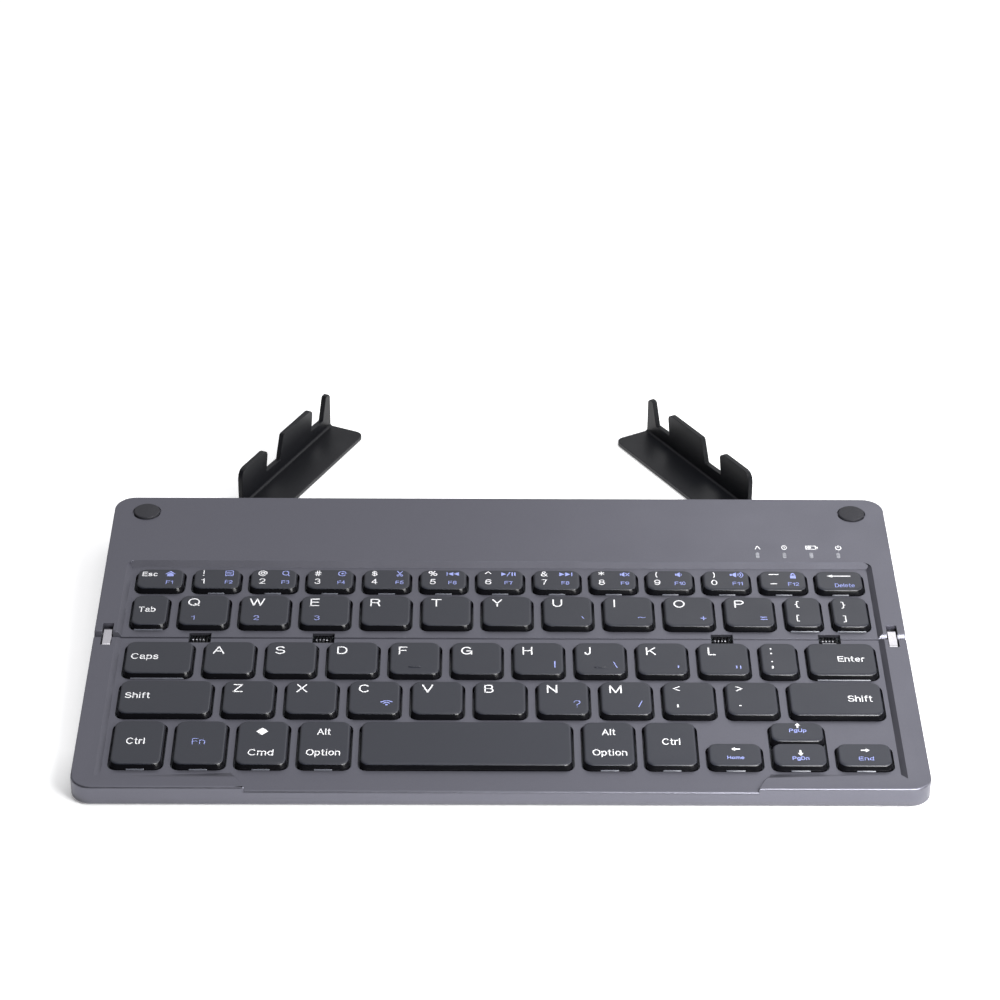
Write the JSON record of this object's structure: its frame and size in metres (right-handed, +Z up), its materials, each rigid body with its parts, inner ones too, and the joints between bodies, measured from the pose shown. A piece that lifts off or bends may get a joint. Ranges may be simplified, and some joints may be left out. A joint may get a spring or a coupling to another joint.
{
  "type": "folding keyboard",
  "caption": "Keyboard that folds shut on a link hinge, with sloped keycaps sunk in a metal deck and toothed swing-out arms that hold a phone upright",
  "frame": {"origin": "on the table, under the middle of the outline with the stand arms open", "axes": "+X to the typist's right, +Y away from the typist, +Z up from the table"},
  "size_m": [0.2502, 0.2282, 0.0166],
  "materials": {
    "case_metal": "fine bead-blasted, anodised space grey",
    "cover_plastic": "space grey, fine spark texture",
    "inner_steel": "plain stamped sheet",
    "membrane_film": "clear film with printed tracks",
    "dome_rubber": "milky silicone",
    "scissor_plastic": "natural white",
    "board": "green solder mask",
    "battery_foil": "foil pouch, satin",
    "wire_red": "wire insulation",
    "light_pipe": "smoky clear window",
    "knob_plastic": "black, ribbed",
    "port_steel": "plated shell",
    "bumper_rubber": "grey, matt",
    "foot_rubber": "black, matt",
    "screw_steel": "dark plated",
    "pin_steel": "turned",
    "magnet_nickel": "nickel plated",
    "arm_plastic": "black, satin moulded",
    "link_steel": "satin polished",
    "cable_black": "flat black insulation",
    "keycap_plastic": "charcoal, satin tops and glossy sides"
  },
  "bodies": {
    "rear_half": {"rear_top_case": "case_metal", "rear_bottom_cover": "cover_plastic", "rear_key_plate": "inner_steel", "rear_membrane": "membrane_film", "rear_domes": "dome_rubber", "rear_scissor_links": "scissor_plastic", "main_board": "board", "battery": "battery_foil", "battery_leads": "wire_red", "led_light_pipes": "light_pipe", "charge_port": "port_steel", "corner_bumpers": "bumper_rubber", "rear_feet": "foot_rubber", "rear_screws": "screw_steel", "rear_hinge_pins": "pin_steel", "arm_pivot_screws": "screw_steel", "closure_magnets_rear": "magnet_nickel"},
    "hinge_links": {"hinge_link_left": "link_steel", "hinge_link_right": "link_steel", "flex_cables": "cable_black"},
    "front_half": {"front_hinge_pins": "pin_steel", "front_top_case": "case_metal", "front_bottom_cover": "cover_plastic", "front_key_plate": "inner_steel", "front_membrane": "membrane_film", "front_domes": "dome_rubber", "front_scissor_links": "scissor_plastic", "front_feet": "foot_rubber", "front_screws": "screw_steel", "closure_magnets_front": "magnet_nickel"},
    "stand_left": {"stand_arm_left": "arm_plastic", "arm_pad_left": "foot_rubber"},
    "stand_right": {"stand_arm_right": "arm_plastic", "arm_pad_right": "foot_rubber"},
    "power_switch": {"power_switch_knob": "knob_plastic"},
    "key_esc_cap": {"key_esc": "keycap_plastic"},
    "keys_number_row_cap": {"keys_number_row": "keycap_plastic"},
    "key_delete_cap": {"key_delete": "keycap_plastic"},
    "key_tab_cap": {"key_tab": "keycap_plastic"},
    "keys_q_row_cap": {"keys_q_row": "keycap_plastic"},
    "key_bracket_open_cap": {"key_bracket_open": "keycap_plastic"},
    "key_bracket_close_cap": {"key_bracket_close": "keycap_plastic"},
    "key_caps_cap": {"key_caps": "keycap_plastic"},
    "keys_a_row_cap": {"keys_a_row": "keycap_plastic"},
    "key_semicolon_cap": {"key_semicolon": "keycap_plastic"},
    "key_enter_cap": {"key_enter": "keycap_plastic"},
    "key_shift_left_cap": {"key_shift_left": "keycap_plastic"},
    "keys_z_row_cap": {"keys_z_row": "keycap_plastic"},
    "key_shift_right_cap": {"key_shift_right": "keycap_plastic"},
    "key_ctrl_left_cap": {"key_ctrl_left": "keycap_plastic"},
    "key_fn_cap": {"key_fn": "keycap_plastic"},
    "key_cmd_cap": {"key_cmd": "keycap_plastic"},
    "key_alt_left_cap": {"key_alt_left": "keycap_plastic"},
    "key_space_cap": {"key_space": "keycap_plastic"},
    "key_alt_right_cap": {"key_alt_right": "keycap_plastic"},
    "key_ctrl_right_cap": {"key_ctrl_right": "keycap_plastic"},
    "key_left_cap": {"key_left": "keycap_plastic"},
    "key_up_cap": {"key_up": "keycap_plastic"},
    "key_down_cap": {"key_down": "keycap_plastic"},
    "key_right_cap": {"key_right": "keycap_plastic"}
  },
  "joints": [
    {"name": "link_fold", "type": "hinge", "parent": "rear_half", "child": "hinge_links", "pos_m": [0, -0.03525, 0.00891], "axis": [-1, 0, 0], "range_deg": [0, 90], "deforming": ["flex_cables"]},
    {"name": "front_fold", "type": "hinge", "parent": "hinge_links", "child": "front_half", "pos_m": [0, -0.04183, 0.0085], "axis": [-1, 0, 0], "range_deg": [0, 90]},
    {"name": "arm_swing_left", "type": "hinge", "parent": "rear_half", "child": "stand_left", "pos_m": [-0.09275, 0.02968, 0.00125], "axis": [0, 0, 1], "range_deg": [-64, 0]},
    {"name": "arm_swing_right", "type": "hinge", "parent": "rear_half", "child": "stand_right", "pos_m": [0.09275, 0.02968, 0.00125], "axis": [0, 0, 1], "range_deg": [-4.5, 59.5]},
    {"name": "power_slide", "type": "slide", "parent": "rear_half", "child": "power_switch", "axis": [0, 0.998, 0.0628], "range_m": [0, 0.002]},
    {"name": "key_esc_press", "type": "slide", "parent": "rear_half", "child": "key_esc_cap", "axis": [0, -0.0628, 0.998], "range_m": [-0.0014, 0], "stiffness_N_per_m": 300, "springref_m": 0.0003},
    {"name": "keys_number_row_press", "type": "slide", "parent": "rear_half", "child": "keys_number_row_cap", "axis": [0, -0.0628, 0.998], "range_m": [-0.0014, 0], "stiffness_N_per_m": 900, "springref_m": 0.0003},
    {"name": "key_delete_press", "type": "slide", "parent": "rear_half", "child": "key_delete_cap", "axis": [0, -0.0628, 0.998], "range_m": [-0.0014, 0], "stiffness_N_per_m": 300, "springref_m": 0.0003},
    {"name": "key_tab_press", "type": "slide", "parent": "rear_half", "child": "key_tab_cap", "axis": [0, -0.0628, 0.998], "range_m": [-0.0014, 0], "stiffness_N_per_m": 300, "springref_m": 0.0003},
    {"name": "keys_q_row_press", "type": "slide", "parent": "rear_half", "child": "keys_q_row_cap", "axis": [0, -0.0628, 0.998], "range_m": [-0.0014, 0], "stiffness_N_per_m": 900, "springref_m": 0.0003},
    {"name": "key_bracket_open_press", "type": "slide", "parent": "rear_half", "child": "key_bracket_open_cap", "axis": [0, -0.0628, 0.998], "range_m": [-0.0014, 0], "stiffness_N_per_m": 300, "springref_m": 0.0003},
    {"name": "key_bracket_close_press", "type": "slide", "parent": "rear_half", "child": "key_bracket_close_cap", "axis": [0, -0.0628, 0.998], "range_m": [-0.0014, 0], "stiffness_N_per_m": 300, "springref_m": 0.0003},
    {"name": "key_caps_press", "type": "slide", "parent": "front_half", "child": "key_caps_cap", "axis": [0, -0.0628, 0.998], "range_m": [-0.0014, 0], "stiffness_N_per_m": 300, "springref_m": 0.0003},
    {"name": "keys_a_row_press", "type": "slide", "parent": "front_half", "child": "keys_a_row_cap", "axis": [0, -0.0628, 0.998], "range_m": [-0.0014, 0], "stiffness_N_per_m": 900, "springref_m": 0.0003},
    {"name": "key_semicolon_press", "type": "slide", "parent": "front_half", "child": "key_semicolon_cap", "axis": [0, -0.0628, 0.998], "range_m": [-0.0014, 0], "stiffness_N_per_m": 300, "springref_m": 0.0003},
    {"name": "key_enter_press", "type": "slide", "parent": "front_half", "child": "key_enter_cap", "axis": [0, -0.0628, 0.998], "range_m": [-0.0014, 0], "stiffness_N_per_m": 300, "springref_m": 0.0003},
    {"name": "key_shift_left_press", "type": "slide", "parent": "front_half", "child": "key_shift_left_cap", "axis": [0, -0.0628, 0.998], "range_m": [-0.0014, 0], "stiffness_N_per_m": 300, "springref_m": 0.0003},
    {"name": "keys_z_row_press", "type": "slide", "parent": "front_half", "child": "keys_z_row_cap", "axis": [0, -0.0628, 0.998], "range_m": [-0.0014, 0], "stiffness_N_per_m": 900, "springref_m": 0.0003},
    {"name": "key_shift_right_press", "type": "slide", "parent": "front_half", "child": "key_shift_right_cap", "axis": [0, -0.0628, 0.998], "range_m": [-0.0014, 0], "stiffness_N_per_m": 300, "springref_m": 0.0003},
    {"name": "key_ctrl_left_press", "type": "slide", "parent": "front_half", "child": "key_ctrl_left_cap", "axis": [0, -0.0628, 0.998], "range_m": [-0.0014, 0], "stiffness_N_per_m": 300, "springref_m": 0.0003},
    {"name": "key_fn_press", "type": "slide", "parent": "front_half", "child": "key_fn_cap", "axis": [0, -0.0628, 0.998], "range_m": [-0.0014, 0], "stiffness_N_per_m": 300, "springref_m": 0.0003},
    {"name": "key_cmd_press", "type": "slide", "parent": "front_half", "child": "key_cmd_cap", "axis": [0, -0.0628, 0.998], "range_m": [-0.0014, 0], "stiffness_N_per_m": 300, "springref_m": 0.0003},
    {"name": "key_alt_left_press", "type": "slide", "parent": "front_half", "child": "key_alt_left_cap", "axis": [0, -0.0628, 0.998], "range_m": [-0.0014, 0], "stiffness_N_per_m": 300, "springref_m": 0.0003},
    {"name": "key_space_press", "type": "slide", "parent": "front_half", "child": "key_space_cap", "axis": [0, -0.0628, 0.998], "range_m": [-0.0014, 0], "stiffness_N_per_m": 300, "springref_m": 0.0003},
    {"name": "key_alt_right_press", "type": "slide", "parent": "front_half", "child": "key_alt_right_cap", "axis": [0, -0.0628, 0.998], "range_m": [-0.0014, 0], "stiffness_N_per_m": 300, "springref_m": 0.0003},
    {"name": "key_ctrl_right_press", "type": "slide", "parent": "front_half", "child": "key_ctrl_right_cap", "axis": [0, -0.0628, 0.998], "range_m": [-0.0014, 0], "stiffness_N_per_m": 300, "springref_m": 0.0003},
    {"name": "key_left_press", "type": "slide", "parent": "front_half", "child": "key_left_cap", "axis": [0, -0.0628, 0.998], "range_m": [-0.0014, 0], "stiffness_N_per_m": 300, "springref_m": 0.0003},
    {"name": "key_up_press", "type": "slide", "parent": "front_half", "child": "key_up_cap", "axis": [0, -0.0628, 0.998], "range_m": [-0.0014, 0], "stiffness_N_per_m": 300, "springref_m": 0.0003},
    {"name": "key_down_press", "type": "slide", "parent": "front_half", "child": "key_down_cap", "axis": [0, -0.0628, 0.998], "range_m": [-0.0014, 0], "stiffness_N_per_m": 300, "springref_m": 0.0003},
    {"name": "key_right_press", "type": "slide", "parent": "front_half", "child": "key_right_cap", "axis": [0, -0.0628, 0.998], "range_m": [-0.0014, 0], "stiffness_N_per_m": 300, "springref_m": 0.0003}
  ],
  "couplings": [
    {"joint": "link_fold", "follows": "front_fold", "ratio": 1}
  ]
}
